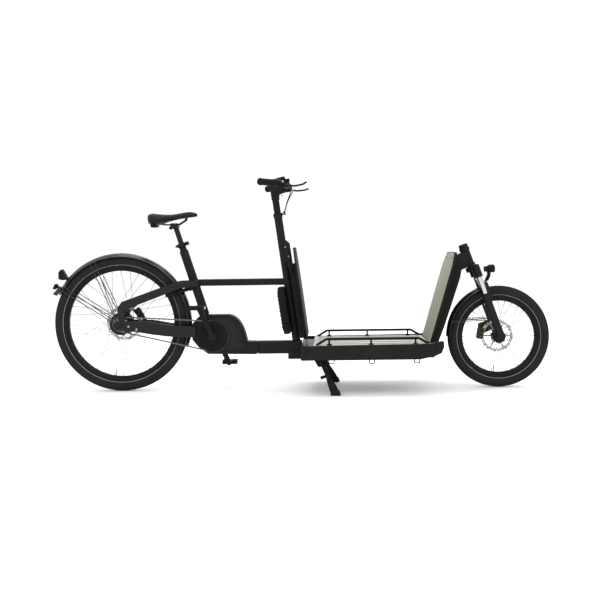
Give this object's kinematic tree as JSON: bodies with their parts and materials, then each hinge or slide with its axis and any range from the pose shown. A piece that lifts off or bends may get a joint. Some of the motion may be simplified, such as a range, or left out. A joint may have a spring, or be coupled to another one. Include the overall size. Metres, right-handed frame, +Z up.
{
  "type": "cargo bicycle",
  "caption": "Long-wheelbase cargo bicycle with a low flat deck between leaning end walls, small front wheel, sprung fork, mid motor, disc brakes and a two-leg stand.",
  "frame": {"origin": "on the ground under the middle of the bicycle's length", "axes": "+X forward, the way it rides; +Z up; the rider's right side is -Y"},
  "size_m": [2.5378, 0.6398, 1.0851],
  "materials": {
    "frame_black": "satin black paint",
    "fork_black": "satin black paint",
    "fork_silver": "polished stanchions, black crown",
    "deck_black": "satin black paint",
    "panel_grey": "matte warm grey coating on plywood",
    "rail_black": "satin black paint",
    "wall_grey": "matte greenish grey coating on plywood",
    "wall_black": "matte black coating on plywood",
    "motor_black": "satin cast cover",
    "battery_black": "matte",
    "tyre_black": "rubber",
    "rim_black": "black anodised",
    "spoke_steel": "drawn wire",
    "rotor_steel": "ground steel",
    "crank_black": "satin black",
    "guard_black": "gloss black",
    "light_body": "black housing, clear lens",
    "light_red": "red lens",
    "caliper_dark": "dark anodised",
    "stand_steel": "satin black, rubber feet",
    "stem_black": "satin black",
    "grip_rubber": "ribbed rubber",
    "control_black": "matte",
    "saddle_cover": "stitched synthetic cover",
    "hose_black": "smooth sheath"
  },
  "bodies": {
    "frame": {"seat_tube": "frame_black", "top_tube": "frame_black", "upper_stays": "frame_black", "chainstays": "frame_black", "motor_bracket": "frame_black", "motor_unit": "motor_black", "main_beam": "frame_black", "steering_column": "frame_black", "deck_side_right": "deck_black", "deck_side_left": "deck_black", "deck_crossmembers": "frame_black", "deck_panel": "panel_grey", "cargo_rail_right": "rail_black", "cargo_rail_left": "rail_black", "lash_loops": "rail_black", "front_wall": "wall_grey", "rear_wall": "wall_black", "front_mast": "frame_black", "battery_pack": "battery_black", "controller_box": "battery_black", "rear_mudguard": "guard_black", "rear_light": "light_red", "chain": "rotor_steel", "rear_caliper": "caliper_dark", "stand_bracket": "frame_black", "frame_bolts": "rotor_steel"},
    "rear_wheel": {"rear_tyre": "tyre_black", "rear_rim": "rim_black", "rear_spokes": "spoke_steel", "rear_hub": "rim_black", "rear_rotor": "rotor_steel"},
    "sprocket": {"rear_sprocket": "rotor_steel"},
    "crank": {"crank_arms": "crank_black", "chainring": "crank_black"},
    "right_pedal": {"pedal_right": "crank_black"},
    "left_pedal": {"pedal_left": "crank_black"},
    "fork": {"fork_crown": "fork_silver"},
    "lowers": {"fork_lowers": "fork_black", "front_mudguard": "guard_black", "front_caliper": "caliper_dark", "headlight": "light_body"},
    "front_wheel": {"front_tyre": "tyre_black", "front_rim": "rim_black", "front_spokes": "spoke_steel", "front_hub": "rim_black", "front_rotor": "rotor_steel"},
    "bars": {"stem": "stem_black", "handlebar": "stem_black", "grips": "grip_rubber", "control_units": "control_black", "brake_hose_right": "hose_black", "brake_hose_left": "hose_black"},
    "right_lever": {"brake_lever_right": "control_black"},
    "left_lever": {"brake_lever_left": "control_black"},
    "saddle_set": {"seatpost": "stem_black", "saddle_rails": "rotor_steel", "saddle": "saddle_cover"},
    "seat_lock": {"seat_lever": "crank_black"},
    "stand": {"stand_legs": "stand_steel"}
  },
  "joints": [
    {"name": "rear_wheel_spin", "type": "hinge", "parent": "frame", "child": "rear_wheel", "pos_m": [-0.914, 0, 0.347], "axis": [0, 1, 0], "continuous": true},
    {"name": "crank_spin", "type": "hinge", "parent": "frame", "child": "crank", "pos_m": [-0.441, 0, 0.279], "axis": [0, 1, 0], "continuous": true},
    {"name": "sprocket_spin", "type": "hinge", "parent": "frame", "child": "sprocket", "pos_m": [-0.914, 0, 0.347], "axis": [0, 1, 0], "continuous": true},
    {"name": "pedal_right_spin", "type": "hinge", "parent": "crank", "child": "right_pedal", "pos_m": [-0.50811, -0.142, 0.42974], "axis": [0, 1, 0], "continuous": true},
    {"name": "pedal_left_spin", "type": "hinge", "parent": "crank", "child": "left_pedal", "pos_m": [-0.37389, 0.142, 0.12826], "axis": [0, 1, 0], "continuous": true},
    {"name": "fork_turn", "type": "hinge", "parent": "frame", "child": "fork", "pos_m": [0.838, 0, 0.715], "axis": [-0.342, 0, 0.9397], "range_deg": [-45, 45]},
    {"name": "fork_slide", "type": "slide", "parent": "fork", "child": "lowers", "axis": [-0.342, 0, 0.9397], "range_m": [0, 0.018], "stiffness_N_per_m": 15000, "springref_m": -0.03},
    {"name": "front_wheel_spin", "type": "hinge", "parent": "lowers", "child": "front_wheel", "pos_m": [1.011, 0, 0.258], "axis": [0, 1, 0], "continuous": true},
    {"name": "bars_turn", "type": "hinge", "parent": "frame", "child": "bars", "pos_m": [-0.018, 0, 0.25], "axis": [-0.1323, 0, 0.9912], "range_deg": [-45, 45]},
    {"name": "lever_right_turn", "type": "hinge", "parent": "bars", "child": "right_lever", "pos_m": [-0.05707, -0.21194, 1.03], "axis": [0, 0, -1], "range_deg": [0, 25], "stiffness_Nm_per_rad": 0.5, "springref_deg": -17.19},
    {"name": "lever_left_turn", "type": "hinge", "parent": "bars", "child": "left_lever", "pos_m": [-0.05707, 0.21194, 1.03], "axis": [0, 0, 1], "range_deg": [0, 25], "stiffness_Nm_per_rad": 0.5, "springref_deg": -17.19},
    {"name": "seat_slide", "type": "slide", "parent": "frame", "child": "saddle_set", "axis": [-0.3024, 0, 0.9532], "range_m": [-0.05, 0.14]},
    {"name": "seat_lock_turn", "type": "hinge", "parent": "frame", "child": "seat_lock", "pos_m": [-0.56589, -0.02, 0.74686], "axis": [-0.3024, 0, 0.9532], "range_deg": [0, 95]},
    {"name": "stand_turn", "type": "hinge", "parent": "frame", "child": "stand", "pos_m": [0.116, 0, 0.148], "axis": [0, 1, 0], "range_deg": [0, 95]}
  ],
  "couplings": [
    {"joint": "bars_turn", "follows": "fork_turn", "ratio": 1},
    {"joint": "sprocket_spin", "follows": "crank_spin", "ratio": 2.1111}
  ]
}
